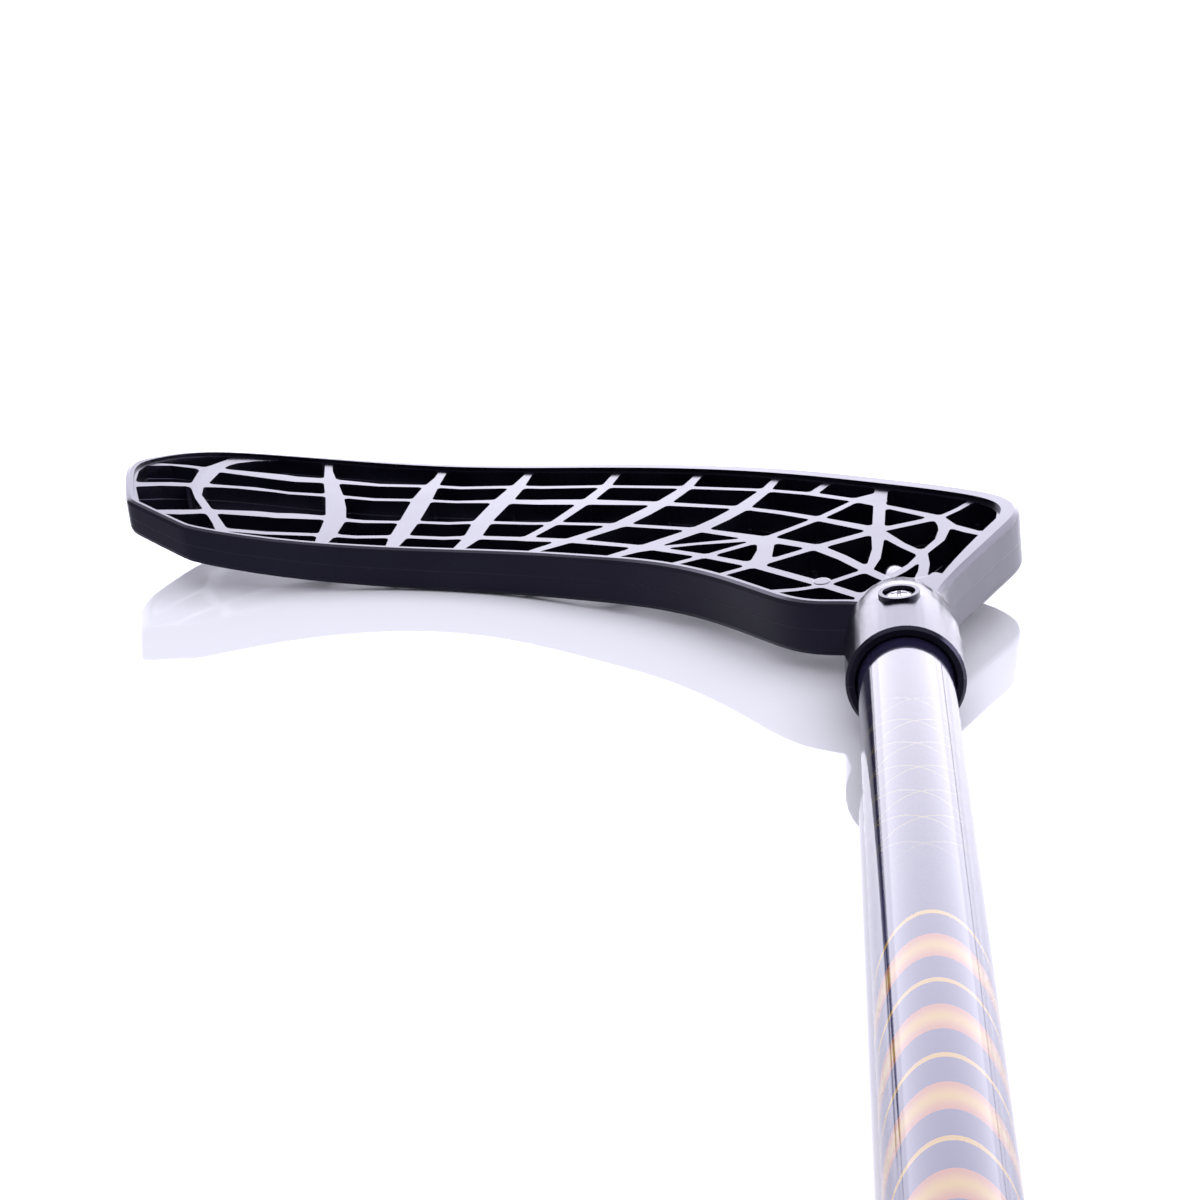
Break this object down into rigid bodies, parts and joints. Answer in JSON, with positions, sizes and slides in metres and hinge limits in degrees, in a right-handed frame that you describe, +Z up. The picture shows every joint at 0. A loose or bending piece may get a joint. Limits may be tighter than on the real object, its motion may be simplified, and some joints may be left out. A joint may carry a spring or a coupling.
{
  "type": "floorball stick",
  "caption": "Floorball stick with a hooked open-lattice plastic blade screwed to a tapered tubular shaft, with a wound grip, a finishing band and a butt cap.",
  "frame": {"origin": "bottom centre of the box round the stick as it lies on a floor", "axes": "+Y along the shaft from the butt to the blade, +X towards the blade's heel, +Z up"},
  "size_m": [0.264, 1.0622, 0.0312],
  "materials": {
    "blade_plastic": "satin",
    "shaft_lacquer": "gloss",
    "screw_steel": "satin",
    "grip_tape": "matt",
    "band_tape": "satin",
    "cap_plastic": "matt"
  },
  "bodies": {
    "stick": {"blade": "blade_plastic", "shaft": "shaft_lacquer", "grip_wrap": "grip_tape", "grip_band": "band_tape", "end_cap": "cap_plastic"},
    "top_screw": {"neck_screw_top": "screw_steel"},
    "heel_screw": {"neck_screw_heel": "screw_steel"}
  },
  "joints": [
    {"name": "top_screw_out", "type": "slide", "parent": "stick", "child": "top_screw", "axis": [-0.0738, 0, 0.9973], "range_m": [0, 0.012]},
    {"name": "heel_screw_out", "type": "slide", "parent": "stick", "child": "heel_screw", "axis": [0.9973, 0, 0.0738], "range_m": [0, 0.012]}
  ]
}
